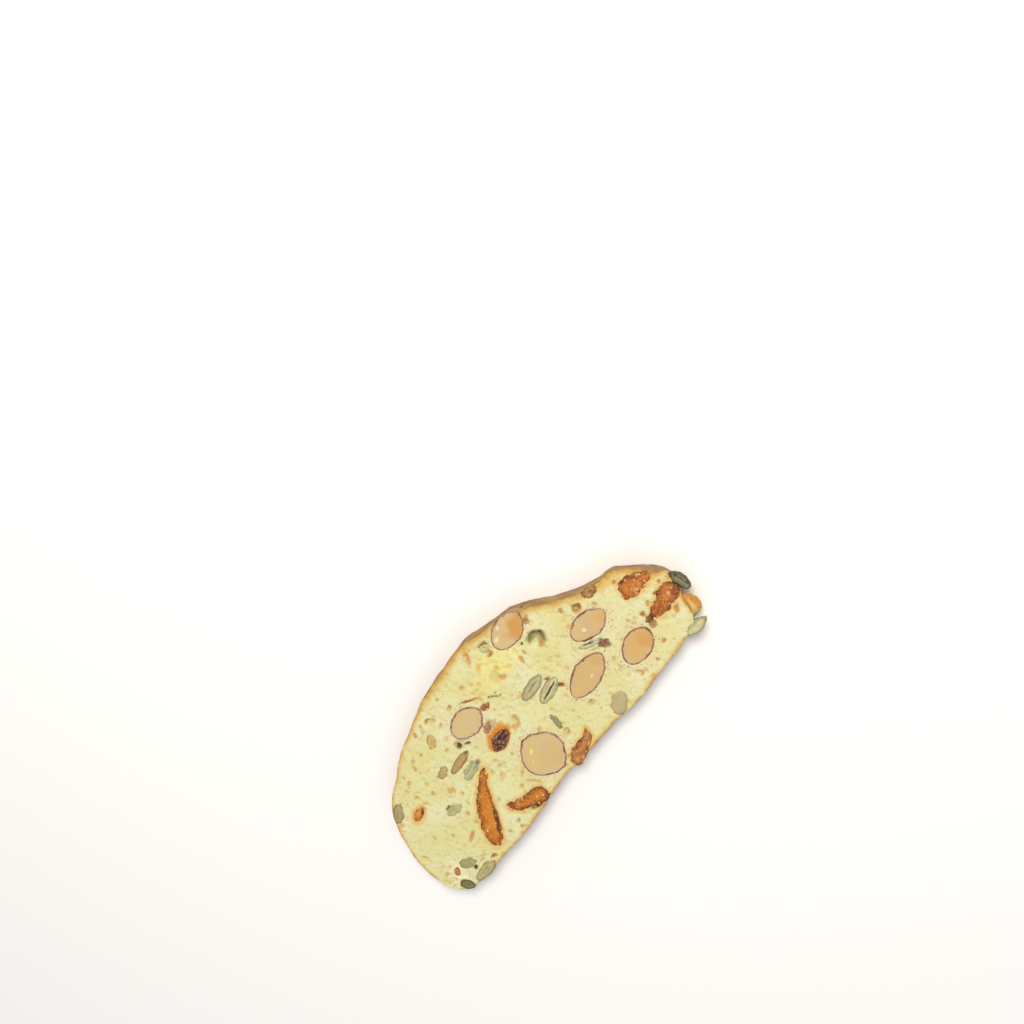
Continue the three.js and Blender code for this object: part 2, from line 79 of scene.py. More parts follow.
# Larger open cells and toasted spots by their place on the shown face: length, width, turn in degrees,
# depth, and how far their walls are toasted from 0 to 1
Cell = namedtuple("Cell", "x y long wide turn deep toast")
open_cells = [
    Cell(4.5, 20.8, 5.2, 1.7, 52, 0.25, 0.9),
    Cell(4.6, 16.4, 2.2, 0.9, 20, 0.25, 0.8),
    Cell(6.0, 9.7, 3.2, 1.2, -30, 0.5, 0.7),
    Cell(7.6, 12.0, 1.6, 0.8, 40, 0.3, 0.8),
    Cell(14.1, 8.4, 2.0, 1.0, 60, 0.4, 0.9),
    Cell(16.3, 9.2, 1.6, 0.9, 80, 0.35, 0.9),
    Cell(-1.5, 15.0, 1.3, 0.9, 50, 0.4, 1.0),
    Cell(-6.9, 13.2, 2.6, 0.9, -30, 0.5, 1.0),
    Cell(-4.6, 11.8, 3.4, 0.8, -30, 0.4, 1.0),
    Cell(24.4, 14.8, 2.4, 1.0, -10, 0.5, 1.0),
    Cell(24.2, 13.6, 1.0, 1.9, 0, 0.5, 1.0),
    Cell(14.1, -0.7, 2.2, 0.9, 10, 0.5, 1.0),
    Cell(-23.3, 17.4, 1.6, 0.9, 60, 0.3, 0.6),
    Cell(-17.8, 14.7, 2.2, 0.8, 20, 0.4, 0.7),
    Cell(-23.1, 9.0, 1.6, 1.1, 10, 0.3, 0.7),
    Cell(-20.2, -5.4, 1.9, 1.4, 40, 0.3, 0.6),
    Cell(-19.2, -8.6, 2.6, 1.7, 20, 0.3, 0.45),
    Cell(-18.0, -14.5, 1.6, 1.1, 50, 0.4, 0.8),
    Cell(-26.0, -11.9, 1.7, 1.3, 30, 0.3, 0.4),
    Cell(-14.1, -16.5, 4.6, 0.9, -60, 0.3, 0.6),
    Cell(-42.3, -21.4, 2.2, 1.1, -30, 0.4, 0.9),
    Cell(-11.7, 20.1, 1.2, 0.8, 0, 0.3, 0.8),
    Cell(-1.3, 8.7, 1.0, 0.8, 0, 0.5, 0.9),
    Cell(-0.4, 7.9, 1.1, 0.7, 0, 0.5, 0.9),
    Cell(0.5, 7.0, 0.9, 0.7, 0, 0.5, 0.9),
    Cell(-11.7, 15.8, 1.9, 1.2, 30, 0.4, 0.5),
    Cell(-18.9, 18.0, 3.0, 1.9, -35, 0.9, 1.0),
    Cell(-21.9, 19.2, 1.3, 1.0, 10, 0.4, 0.8),
    Cell(-25.4, 18.9, 1.8, 1.1, 70, 0.5, 0.9),
    Cell(-39.4, 11.6, 1.6, 1.1, 20, 0.35, 0.9),
    Cell(-41.9, 7.3, 1.3, 1.0, 0, 0.3, 0.8),
    Cell(-36.2, 7.4, 1.5, 1.1, 45, 0.35, 0.8),
    Cell(-37.3, 4.3, 1.6, 1.2, 10, 0.35, 0.9),
    Cell(-32.1, 6.1, 1.2, 0.9, 80, 0.3, 0.8),
    Cell(-32.4, 0.3, 1.7, 1.2, 35, 0.35, 0.9),
    Cell(-32.8, 14.6, 1.4, 0.9, 15, 0.3, 0.8),
    Cell(-29.4, 14.0, 1.2, 0.9, 0, 0.3, 0.8),
    Cell(32.7, 8.4, 1.9, 1.3, 10, 0.5, 0.6),
    Cell(36.0, 5.4, 2.9, 2.3, -20, 1.1, 0.7),
    Cell(43.4, -18.6, 1.5, 1.1, 30, 0.5, 1.0),
    Cell(37.9, -20.6, 1.4, 0.9, 60, 0.4, 0.9),
    Cell(32.3, -19.9, 1.9, 1.1, 20, 0.4, 0.9),
    Cell(33.4, -22.6, 1.3, 0.9, 10, 0.3, 0.8),
    Cell(16.0, -14.3, 2.5, 1.7, 20, 0.7, 0.5),
    Cell(4.2, -14.2, 2.8, 2.3, 15, 0.8, 0.5),
    Cell(-14.5, -12.1, 2.4, 0.7, 40, 0.25, 0.7),
    Cell(-18.6, -7.4, 1.3, 0.9, 10, 0.3, 0.7),
    Cell(-27.5, -20.1, 1.4, 1.0, 30, 0.3, 0.9),
    Cell(-28.6, -22.0, 1.3, 0.9, 60, 0.3, 0.9),
    Cell(-41.5, -12.6, 4.4, 1.0, 20, 0.3, 0.6),
    Cell(3.7, -7.1, 1.0, 0.7, 0, 0.3, 0.5),
    Cell(15.1, -4.6, 1.2, 2.2, 20, 0.5, 1.0),
    Cell(17.8, 11.0, 0.9, 0.8, 0, 1.0, 0.2),
    Cell(32.3, -5.3, 1.7, 1.2, -30, 2.0, 0.1),
    Cell(-19.4, 7.1, 1.7, 1.2, 30, 1.5, 0.2),
    Cell(-2.2, -1.4, 4.4, 1.7, 60, 0.35, 0.8),
]

# Where the crumb took another colour on the shown face, and where shade and light are painted on it: the
# deep cell's toasted walls with their painted shade and light, dark holes and clefts painted as shade,
# painted shadows beside a seed and an almond, bits of nut and pale or buttery dough. The last value is how
# ragged the spot's edge is.
Spot = namedtuple("Spot", "x y long wide turn colour share ragged", defaults=[1.0])
tinted_spots = [
    Spot(9.5, 13.4, 17.0, 9.0, -20, "#ece080", 0.4),
    Spot(1.0, 12.5, 11.0, 7.0, -35, "#ebdc88", 0.3),
    Spot(3.9, 16.3, 4.5, 1.6, 52, "#dfaa50", 0.55),
    Spot(7.3, 12.6, 1.7, 1.2, 20, "#d69c48", 0.7),
    Spot(5.8, 9.7, 3.2, 1.3, 110, "#d9a048", 0.75),
    Spot(-14.1, 3.2, 6.5, 4.0, 60, "#dcc792", 0.6),
    Spot(-7.7, 3.6, 4.4, 3.2, -40, "#c2aa80", 0.9),
    # Painted shade below an almond
    Spot(-17.3, 7.4, 4.4, 1.5, -35, "#a7a27a", 0.7),
    # The deep cell: painted shade on its upper walls, painted light on its lower wall, and toasted brown on
    # its rim
    Spot(22.4, 8.7, 5.6, 5.6, 0, "#6e4c1e", 0.85, 0.35),
    Spot(21.5, 9.0, 5.2, 5.2, 0, "#77753f", 0.95, 0.25),
    Spot(21.5, 8.3, 4.4, 4.0, 0, "#aaa468", 0.9, 0.3),
    Spot(20.3, 8.2, 3.2, 2.8, 0, "#e4deac", 0.95, 0.5),
    Spot(21.6, 6.7, 2.8, 1.5, 10, "#c8994e", 0.85, 0.5),
    Spot(24.2, 9.4, 1.7, 0.9, -60, "#54380f", 0.95, 0.6),
    Spot(35.8, 5.4, 2.7, 2.5, 0, "#8a5c24", 0.95, 0.3),
    Spot(35.4, 5.0, 2.2, 2.2, 0, "#c39c58", 0.95, 0.4),
    Spot(32.5, 8.2, 1.6, 1.0, 40, "#b9802c", 0.9),
    Spot(14.0, 8.4, 2.8, 1.4, 70, "#d29c48", 0.8),
    Spot(5.1, 2.4, 2.2, 1.6, 0, "#d8a450", 0.8),
    Spot(14.8, -4.5, 2.4, 1.2, -35, "#7a5222", 0.95),
    Spot(13.8, -0.6, 1.7, 1.0, -60, "#8d5c28", 0.95),
    # Painted shadows round a seed: dark brown on one side, orange-brown on the other
    Spot(10.7, 19.4, 3.8, 1.8, -20, "#7a5220", 0.95),
    Spot(9.7, 16.2, 2.4, 1.9, 0, "#a9702a", 0.9),
    Spot(-6.5, 13.0, 5.6, 0.8, -34, "#b37426", 0.95, 0.7),
    # A dark cleft painted as its shade
    Spot(-6.3, 12.8, 2.6, 0.6, -34, "#6e4412", 0.9),
    Spot(-11.3, 16.1, 1.8, 1.1, 20, "#bf8a44", 0.75),
    Spot(-1.2, 9.0, 0.8, 0.7, 0, "#6b4a20", 0.95),
    Spot(-0.4, 8.4, 0.8, 0.7, 0, "#5f421c", 0.95),
    Spot(0.3, 7.6, 0.9, 0.7, 0, "#6b4a20", 0.95),
    Spot(0.9, 8.3, 0.7, 0.7, 0, "#7a5626", 0.9),
    Spot(1.4, 6.8, 0.8, 0.7, 0, "#6b4a20", 0.95),
    Spot(24.0, 14.3, 2.6, 1.4, -30, "#a06844", 0.85),
    # A dark pit painted as its shade
    Spot(23.6, 13.6, 1.0, 0.8, 0, "#4a3014", 0.9),
    Spot(31.9, -5.2, 3.4, 2.4, -30, "#ddd6b4", 0.9),
    # Painted shade in a deep hole and below it, and in a cleft beside it
    Spot(32.3, -5.3, 1.5, 1.1, -30, "#241f12", 1.0),
    Spot(32.6, -7.4, 3.4, 1.7, -30, "#8b6a4c", 0.9),
    Spot(29.0, -3.5, 3.0, 0.8, -28, "#3a3422", 0.9),
    Spot(45.5, -13.2, 3.6, 2.2, 70, "#9a6634", 0.85),
    # Holes painted dark as their shade
    Spot(17.8, 11.0, 1.0, 0.9, 0, "#2c2412", 1.0, 0.3),
    Spot(-19.5, 7.0, 2.3, 1.9, 30, "#6a5a20", 1.0),
    Spot(-17.2, 5.5, 2.4, 1.0, -30, "#57502a", 1.0),
    Spot(-6.4, 1.5, 3.4, 2.4, 20, "#dc8e1e", 0.8),
    Spot(-20.2, -0.2, 2.4, 1.6, 0, "#7c6f42", 0.85),
    Spot(-49.0, -19.3, 1.9, 1.4, 20, "#2e2a18", 1.0),
    Spot(-55.0, -17.0, 12.0, 8.0, 60, "#ece4bc", 0.8, 1.3),
    Spot(-45.0, 3.0, 2.6, 0.9, 28, "#5e2412", 0.95),
    Spot(-46.4, 4.3, 4.4, 2.0, 30, "#dba856", 0.5),
    Spot(-57.2, -14.2, 2.2, 1.5, 20, "#c79a58", 0.7),
    Spot(-54.2, -13.4, 1.3, 0.9, 0, "#b8843c", 0.8),
    Spot(-56.6, -17.2, 1.8, 1.1, 50, "#c8a162", 0.7),
    Spot(-38.2, -1.9, 2.4, 1.1, 10, "#4f4a2c", 0.9),
    Spot(-41.5, -12.6, 4.6, 1.2, 20, "#cc9040", 0.8),
    Spot(-42.2, -21.1, 1.6, 0.9, -20, "#8a5a28", 0.9),
    # A dark gap beside a fruit strip, painted as its shade
    Spot(-19.9, -21.9, 7.6, 1.0, -31, "#3a2412", 0.9),
    Spot(49.0, 3.4, 14.0, 4.6, -12, "#dab258", 0.5, 1.6),
    Spot(53.4, -5.2, 9.5, 3.4, -35, "#dfbc66", 0.5, 1.6),
    Spot(48.4, 1.9, 1.6, 1.1, 0, "#a4581c", 0.85),
    Spot(51.2, 3.0, 1.5, 1.0, 0, "#b06a24", 0.8),
    Spot(53.6, 2.6, 1.2, 0.8, 0, "#8c3c10", 0.85),
    Spot(56.4, -0.4, 1.3, 0.9, 0, "#8c3c10", 0.85),
    Spot(47.0, -2.9, 2.2, 1.2, -50, "#c9862e", 0.8),
    Spot(56.0, -7.3, 1.4, 0.9, 0, "#8c4414", 0.85),
    Spot(52.6, -8.4, 1.3, 1.0, 0, "#8c4414", 0.85),
    Spot(49.2, -8.7, 2.2, 1.2, 30, "#c07c28", 0.8),
    Spot(46.0, -9.6, 1.9, 1.3, 20, "#9a5a1c", 0.85),
    Spot(53.0, -15.6, 3.4, 1.7, 35, "#c98030", 0.85),
]

# Cracks where the crumb tore beside a piece: the points that each runs through, its half width and depth
cracks = [
    {"along": [(-8.4, 14.1), (-6.2, 12.6), (-4.1, 11.4)], "wide": 0.32, "deep": 0.5},
    {"along": [(15.4, 2.2), (16.6, 0.6), (16.2, -0.6)], "wide": 0.35, "deep": 0.5},
    {"along": [(-16.2, 17.0), (-13.0, 15.4), (-10.8, 15.5)], "wide": 0.3, "deep": 0.35},
    {"along": [(4.0, -7.4), (5.2, -9.0), (5.6, -12.6)], "wide": 0.4, "deep": 0.5},
    {"along": [(28.6, -5.4), (31.0, -6.4), (33.6, -6.2)], "wide": 0.5, "deep": 0.9},
    {"along": [(-20.6, 6.9), (-18.4, 5.9), (-16.6, 5.2)], "wide": 0.45, "deep": 0.8},
    {"along": [(-46.0, -19.6), (-44.0, -19.0)], "wide": 0.5, "deep": 0.9},
    {"along": [(-42.4, 4.6), (-41.4, 3.4), (-41.2, 2.4)], "wide": 0.3, "deep": 0.8},
]


def linear(code):
    """Turns an sRGB hex colour into the linear one that a material takes"""
    channels = [int(code[i:i + 2], 16) / 255 for i in (1, 3, 5)]
    return (*[c / 12.92 if c <= 0.04045 else ((c + 0.055) / 1.055) ** 2.4 for c in channels], 1.0)


def add_node(material, kind, inputs=None, stops=(), **settings):
    """Adds one node; an input gets a value, another node's output, or a node for its first output in use"""
    tree = material.node_tree
    node = tree.nodes.new("ShaderNode" + kind)
    for name, value in settings.items():
        setattr(node, name, value)
    for socket, value in (inputs or {}).items():
        if isinstance(value, bpy.types.Node):
            value = next(output for output in value.outputs if output.enabled)
        if isinstance(value, bpy.types.NodeSocket):
            tree.links.new(value, node.inputs[socket])
        else:
            node.inputs[socket].default_value = value
    for i, (position, value) in enumerate(stops):
        element = node.color_ramp.elements[i] if i < 2 else node.color_ramp.elements.new(position)
        element.position = position
        element.color = linear(value)
    return node


def start_material(name, **uniform):
    """An opaque surface whose uniform values sit on the shader itself"""
    material = bpy.data.materials.new(name)
    material.use_nodes = True
    shader = material.node_tree.nodes["Principled BSDF"]
    for socket, value in uniform.items():
        shader.inputs[socket.replace("_", " ")].default_value = value
    return material


def laid_over(material, colour, layers):
    """Lays colours over the first one: what each goes by, where it starts and is full, and its share there.
    A Mix node takes its two colours at sockets 6 and 7 and gives the result at 2."""
    for value, start, full, share, covering in layers:
        cover = add_node(material, "MapRange", {0: value, 1: start, 2: full, 4: share})
        colour = add_node(material, "Mix", {0: cover, 6: colour, 7: covering}, data_type="RGBA")
    return colour


def dress(material, colour, relief, strength, height):
    """Leads the colour, and a fine relief this many millimetres high, to the surface"""
    shader = material.node_tree.nodes["Principled BSDF"]
    bump = add_node(material, "Bump", {"Height": relief, "Strength": strength, "Distance": height * MM})
    material.node_tree.links.new(colour.outputs[2], shader.inputs["Base Color"])
    material.node_tree.links.new(bump.outputs["Normal"], shader.inputs["Normal"])


def per_metre(size):
    """The scale of a pattern whose marks are this many millimetres apart"""
    return 1 / (size * MM)


def settled(piece):
    """Keeps what the modifiers made as the piece's own mesh"""
    evaluated = piece.evaluated_get(bpy.context.evaluated_depsgraph_get())
    mesh = bpy.data.meshes.new_from_object(evaluated)
    piece.modifiers.clear()
    piece.data = mesh


def fine_skin(node, name, grain):
    """A closed fine mesh over a solid's form, as a new object"""
    piece = bpy.data.objects.new(name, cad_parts[node].data.copy())
    bpy.context.scene.collection.objects.link(piece)
    remesh = piece.modifiers.new("Fine skin", "REMESH")
    remesh.mode = "VOXEL"
    remesh.voxel_size = grain * MM
    remesh.use_smooth_shade = True
    settled(piece)
    piece.data.materials.clear()
    return piece


def read_vertices(piece, field):
    """Places in millimetres, or normals, one row for each vertex"""
    values = np.empty(len(piece.data.vertices) * 3, np.float32)
    piece.data.vertices.foreach_get(field, values)
    rows = values.reshape(-1, 3).astype(float)
    return rows / MM if field == "co" else rows


def write_places(piece, places):
    piece.data.vertices.foreach_set("co", (places * MM).astype(np.float32).ravel())
    piece.data.update()


def paint(piece, name, values):
    """Keeps one number for each vertex, which the material reads"""
    attribute = piece.data.attributes.new(name, "FLOAT", "POINT")
    attribute.data.foreach_set("value", np.asarray(values, np.float32))


def paint_colour(piece, name, layers):
    """Lays colours over each other for each vertex; alpha keeps how much of the material they cover"""
    mixed = np.zeros((len(piece.data.vertices), 4))
    for code, share in layers:
        share = np.broadcast_to(share, len(mixed))
        cover = share + mixed[:, 3] * (1 - share)
        kept = (mixed[:, 3] * (1 - share))[:, None] * mixed[:, :3]
        laid = share[:, None] * np.array(linear(code)[:3])
        mixed[:, :3] = (laid + kept) / np.maximum(cover, 1e-6)[:, None]
        mixed[:, 3] = cover
    attribute = piece.data.attributes.new(name, "FLOAT_COLOR", "POINT")
    attribute.data.foreach_set("color", mixed.astype(np.float32).ravel())


def evened(piece, values, members, rounds):
    """Averages rows of values between linked vertices, among the members alone"""
    links = np.empty(len(piece.data.edges) * 2, np.int32)
    piece.data.edges.foreach_get("vertices", links)
    a, b = links.reshape(-1, 2).T
    kept = members[a] & members[b]
    a, b, count = a[kept], b[kept], len(members)
    linked = np.bincount(a, minlength=count) + np.bincount(b, minlength=count)
    result = values.copy()
    for _ in range(rounds):
        for column in range(values.shape[1]):
            row = result[:, column]
            mean = (np.bincount(a, row[b], count) + np.bincount(b, row[a], count)) / np.maximum(linked, 1)
            result[:, column] = np.where(linked > 0, (row + mean) / 2, row)
    return result


def spot_cover(places, spot, ragged):
    """From 0 at the middle of an oval spot to 1 at its uneven edge and beyond"""
    turn = math.radians(spot.turn)
    dx, dy = places[:, 0] - spot.x, places[:, 1] - spot.y
    along = (dx * math.cos(turn) + dy * math.sin(turn)) / spot.long
    aside = (dy * math.cos(turn) - dx * math.sin(turn)) / spot.wide
    return np.hypot(along, aside) * 2 + ragged


def stains_and_painted_light(places, spots, shown, ragged, fade):
    """Spots of stain, painted shade and painted light, as layers of colour on what is shown; fade is where a
    spot starts to thin out and ends
    """
    layers = []
    for spot in spots:
        cover = 1 - smooth_step(spot_cover(places, spot, ragged * spot.ragged), *fade)
        layers.append((spot.colour, spot.share * shown * cover))
    return layers


def lumps(places, size, seed):
    """Smooth seeded values from -1 to 1 in space, in lumps about size across"""
    cells = 64
    table = np.random.default_rng(seed).uniform(-1, 1, (cells, cells, cells))
    at = places / size + 31.7
    low = np.floor(at).astype(int)
    part = at - low
    part = part * part * (3 - 2 * part)
    total = np.zeros(len(places))
    for corner in product((0, 1), repeat=3):
        index = (low + corner) % cells
        weight = np.prod(np.where(corner, part, 1 - part), axis=1)
        total += weight * table[index[:, 0], index[:, 1], index[:, 2]]
    return total


def nearest_to(places, targets):
    """The nearest target of each place, and how far away it is"""
    tree = kdtree.KDTree(len(targets))
    for i, target in enumerate(targets):
        tree.insert(target, i)
    tree.balance()
    found = [tree.find(place) for place in places]
    return targets[[index for _, index, _ in found]], np.array([distance for _, _, distance in found])


def distance_to(places, targets):
    return nearest_to(places, targets)[1]


def smooth_step(values, low, high):
    share = np.clip((values - low) / (high - low), 0, 1)
    return share * share * (3 - 2 * share)


def nodes_named(start):
    names = [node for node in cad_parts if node.startswith(start)]
    return sorted(names, key=lambda name: int(name.rsplit("_", 1)[1]))


def points_on(nodes, spacing=0.5):
    """Points along the edges of these solids, close enough together to measure from"""
    points = []
    for node in nodes:
        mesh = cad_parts[node].data
        corners = np.array([vertex.co for vertex in mesh.vertices]) / MM
        for edge in mesh.edges:
            a, b = corners[edge.vertices[0]], corners[edge.vertices[1]]
            steps = int(np.linalg.norm(b - a) / spacing) + 1
            points.extend(a + (b - a) * i / steps for i in range(steps))
    return np.array(points)


def outer_wall(places, normals):
    """The crust: the farthest vertex at each bearing and level, wherever it leans, but no pocket's wall"""
    steep = np.abs(normals[:, 2]) < wall_facing
    places, normals = places[steep], normals[steep]
    x, y = places[:, 0] - slice_middle[0], places[:, 1] - slice_middle[1]
    bearing = (np.arctan2(y, x) / math.tau % 1 * wall_bearings).astype(int)
    level = np.clip(places[:, 2] / thickness * wall_levels, 0, wall_levels - 1).astype(int)
    cell = bearing * wall_levels + level
    reach = np.hypot(x, y)
    order = np.lexsort((reach, cell))
    last = order[np.append(np.diff(cell[order]) > 0, True)]
    farthest = np.zeros(wall_bearings)
    np.maximum.at(farthest, bearing[last], reach[last])
    farthest = np.max([np.roll(farthest, step) for step in range(-2, 3)], axis=0)
    inside = reach[last] < farthest[bearing[last]] - wall_lean
    held, gap = nearest_to(places[last], held_points)
    faces_held = (gap < pocket_gap) & (((held - places[last]) * normals[last]).sum(1) > 0)
    return places[last[~faces_held & ~inside]]


def set_in(piece, node, material):
    """The piece takes its solid's place in the slice"""
    piece.data.materials.append(material)
    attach(piece, "root")
    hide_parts(node)


# The pockets' hidden walls are kept coarse, and the crust runs on smoothly round the slice
held_points = points_on([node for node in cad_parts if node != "crumb"])
crumb = fine_skin("crumb", "biscotti_crumb", crumb_grain)
places = read_vertices(crumb, "co")
from_crust = distance_to(places, outer_wall(places, read_vertices(crumb, "normal")))
hidden = (from_crust > 1.2) & (places[:, 2] > 0.9) & (places[:, 2] < thickness - 0.9)
pocket_walls = crumb.vertex_groups.new(name="pocket_walls")
pocket_walls.add(np.flatnonzero(hidden).tolist(), 1.0, "REPLACE")
fewer = crumb.modifiers.new("Coarse pocket walls", "DECIMATE")
fewer.vertex_group = "pocket_walls"
fewer.ratio = pocket_wall_share
settled(crumb)
crumb.vertex_groups.clear()

places = read_vertices(crumb, "co")
normals = read_vertices(crumb, "normal")
from_crust = distance_to(places, outer_wall(places, normals))
facing = np.abs(normals[:, 2])
on_wall = (from_crust < 0.5) & (facing < 0.7)

# The wall is evened along itself, and the faces beside it follow
moved = evened(crumb, places[:, :2], on_wall, wall_rounds) - places[:, :2]
for _ in range(beside_rounds):
    moved = np.where(on_wall[:, None], moved, evened(crumb, moved, from_crust < 2.4, 1))
places[:, :2] += moved
wall = outer_wall(places, normals)
from_crust = distance_to(places, wall)
on_face = smooth_step(facing, 0.5, 0.8) * ((places[:, 2] > thickness - 0.4) | (places[:, 2] < 0.4))
is_top = places[:, 2] > thickness / 2
from_end = np.hypot(places[:, 0] - broken_end[0], places[:, 1] - broken_end[1])
broken = np.clip(1 - from_end / broken_reach, 0, 1)

# Air cells that the knife opened, on both faces: how deep they sink, and how toasted their walls are
random = np.random.default_rng(air_cells["seed"])
sunk = np.zeros(len(places))
toasted = np.zeros(len(places))
ragged = 0.25 * lumps(places, 0.9, 11) + 0.2 * lumps(places, 0.45, 13)
for face in (True, False):
    chosen = np.flatnonzero((is_top == face) & (on_face > 0.5))
    chosen = chosen[np.argsort(places[chosen, 0])]
    xs = places[chosen, 0]
    cells = list(open_cells) if face else []
    spread = air_cells["largest"] - air_cells["smallest"]
    for _ in range(air_cells["count"]):
        radius = air_cells["smallest"] + spread * random.random() ** 2.5
        cells.append(Cell(
            x=random.uniform(-half_length, half_length), y=random.uniform(-half_width, half_width),
            long=2 * radius, wide=2 * radius * random.uniform(0.5, 1.0),
            turn=random.uniform(0, 180), deep=radius * random.uniform(0.25, 0.55),
            toast=random.uniform(0.3, 0.8) if random.random() < air_cells["toasted_share"] else 0.0))
    for cell in cells:
        reach = max(cell.long, cell.wide) * 0.8
        near = chosen[np.searchsorted(xs, cell.x - reach):np.searchsorted(xs, cell.x + reach)]
        across = spot_cover(places[near], cell, ragged[near])
        cup = cell.deep * np.sqrt(np.clip(1 - across ** 2, 0, 1))
        sunk[near] = np.maximum(sunk[near], cup)
        toasted[near] = np.maximum(toasted[near], cell.toast * smooth_step(-across, -1.25, -0.75))

# How deep the cracks of the shown face are
torn = np.zeros(len(places))
near = np.flatnonzero(is_top & (on_face > 0.5))
level_places = places[near] * (1, 1, 0)
wander = 0.25 * lumps(places[near], 0.7, 12)
for crack in cracks:
    line = []
    for (ax, ay), (bx, by) in zip(crack["along"], crack["along"][1:]):
        line.extend((ax + (bx - ax) * i / 10, ay + (by - ay) * i / 10, 0.0) for i in range(11))
    gap = distance_to(level_places, np.array(line)) + wander
    torn[near] = np.maximum(torn[near], crack["deep"] * np.clip(1 - gap / crack["wide"], 0, 1))
sunk = np.maximum(sunk, torn)

# Dough clings unevenly over the edges of the seeds and fruit, apart from three seeds that lie clear
clinging = [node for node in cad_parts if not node.startswith(("crumb", "almond"))
            and node not in ("pumpkin_seed_1", "pumpkin_seed_2", "pumpkin_seed_6")]
close_by = np.flatnonzero((places[:, 2] > thickness - 0.9) | (places[:, 2] < 0.9))
target, gap = nearest_to(places[close_by], points_on(clinging))
cling = 0.22 + 0.42 * lumps(places[close_by], 1.5, 16) + 0.3 * lumps(places[close_by], 0.7, 17)
cling = np.clip(cling, 0, 0.55) * smooth_step(-gap, -1.0, -0.45) * (from_crust[close_by] > 0.8)
toward = (target - places[close_by]) * (1, 1, 0)
places[close_by] += toward / np.maximum(np.linalg.norm(toward, axis=1), 0.05)[:, None] * cling[:, None]

# The relief of the cut crumb, the crust's wrinkles and the crags of the broken end
grainy = 0.06 * lumps(places, 0.8, 1) + 0.06 * lumps(places, 0.42, 2) + 0.05 * lumps(places, 3.0, 4)
downward = np.where(is_top, -1.0, 1.0) * on_face
places[:, 2] += downward * (sunk * smooth_step(from_crust, 0.2, 0.8) + np.abs(grainy) + 0.02)
wrinkled = 0.12 * lumps(places, 4.5, 5) + 0.05 * lumps(places, 1.2, 6) + 0.03 * lumps(places, 0.5, 7)
places += normals * (on_wall * wrinkled)[:, None]
rough = smooth_step(broken, 0.1, 0.7)
craggy = 0.8 * lumps(places, 1.5, 8) + 0.35 * lumps(places, 0.7, 9)
places[:, :2] += normals[:, :2] * (on_wall * rough * (craggy - 0.2))[:, None]
pitted = 0.7 * np.abs(lumps(places, 1.1, 10)) + 0.3 * np.abs(lumps(places, 0.6, 12))
places[:, 2] += downward * rough * pitted
places[:, 2] = np.clip(places[:, 2], 0, thickness + 0.1)
write_places(crumb, places)

# How baked and how stained each spot is, and how deep, which paints shade into the pores
level_below = np.minimum(thickness - places[:, 2], places[:, 2])
opened = np.clip(level_below, 0, 1.2) * smooth_step(from_crust, 0.4, 1.0)
gently_baked = np.maximum(smooth_step(-places[:, 0], 10, 24), smooth_step(-places[:, 1], 4, 12))
baked = from_crust * ~on_wall * (1 + 1.1 * gently_baked) + 9.0 * smooth_step(broken, 0.25, 0.7)
halo_shift = (0.2, 0.7, 0)
raisin_gap = distance_to(places - halo_shift, points_on(nodes_named("raisin"))) + 0.3 * lumps(places, 1.2, 18)
fruit_gap = distance_to(places, points_on(nodes_named("apricot"))) + 0.35 * lumps(places, 1.1, 14)
nut_gap = distance_to(places, points_on(nodes_named("almond"))) + 0.8 * lumps(places, 2.5, 15)
knob_gap = np.hypot(places[:, 0] - knob_middle[0], places[:, 1] - knob_middle[1])
for name, values in {
    "baked": baked,
    "opened": opened,
    "toasted": toasted,
    "near_raisin": smooth_step(-raisin_gap, -1.5, -0.3),
    "near_fruit": smooth_step(-fruit_gap, -1.6, -0.6),
    "near_nut": smooth_step(-nut_gap, -3.4, -0.5) * (facing > 0.5),
    "knob": smooth_step(-knob_gap, -4.2, -2.6) * (facing < 0.9),
}.items():
    paint(crumb, name, values)
paint_colour(crumb, "spots", stains_and_painted_light(places, tinted_spots, is_top, ragged, (0.6, 1.1)))

# Dry baked dough: matt, faintly translucent, pale egg yellow, painted darker tan down in its pores as their
# shade, golden towards the crust, which is tan and finely wrinkled
baked_dough = start_material("baked_dough", Roughness=0.82, IOR=1.45, Subsurface_Weight=0.12,
                             Subsurface_Scale=0.6 * MM)
space = add_node(baked_dough, "TexCoord").outputs["Object"]
here = {name: add_node(baked_dough, "Attribute", attribute_name=name).outputs["Fac"]
        for name in ("baked", "opened", "toasted", "near_raisin", "near_fruit", "near_nut", "knob")}
spots_here = add_node(baked_dough, "Attribute", attribute_name="spots").outputs

# The size of each pattern in the dough, how many times it repeats finer, and how strong the finer ones are
dough_patterns = {
    "mottle": (9.0, 3.0, 0.5), "flecks": (1.3, 5.0, 0.7), "dust": (0.55, 1.0, 0.5), "toast": (1.6, 3.0, 0.5),
    "heat": (3.5, 3.0, 0.5), "crust": (5.0, 5.0, 0.6), "fine_pores": (0.45, 5.0, 0.7),
}
pattern = {}
for name, (size, detail, rough) in dough_patterns.items():
    pattern[name] = add_node(baked_dough, "TexNoise", {
        "Vector": space, "Scale": per_metre(size), "Detail": detail, "Roughness": rough})
pale = add_node(baked_dough, "ValToRGB", {0: pattern["mottle"]}, stops=[(0.35, "#dedbaa"), (0.65, "#d9d190")])
toast_colour = add_node(baked_dough, "ValToRGB", {0: pattern["toast"]},
                        stops=[(0.4, "#b0742a"), (0.6, "#d6a04a")])
crust_colour = add_node(baked_dough, "ValToRGB", {0: pattern["crust"]},
                        stops=[(0.32, "#86663e"), (0.5, "#9c7a4c"), (0.7, "#b0905e")])
knob_colour = add_node(baked_dough, "ValToRGB", {0: pattern["flecks"]},
                       stops=[(0.4, "#d69a45"), (0.62, "#b87430")])

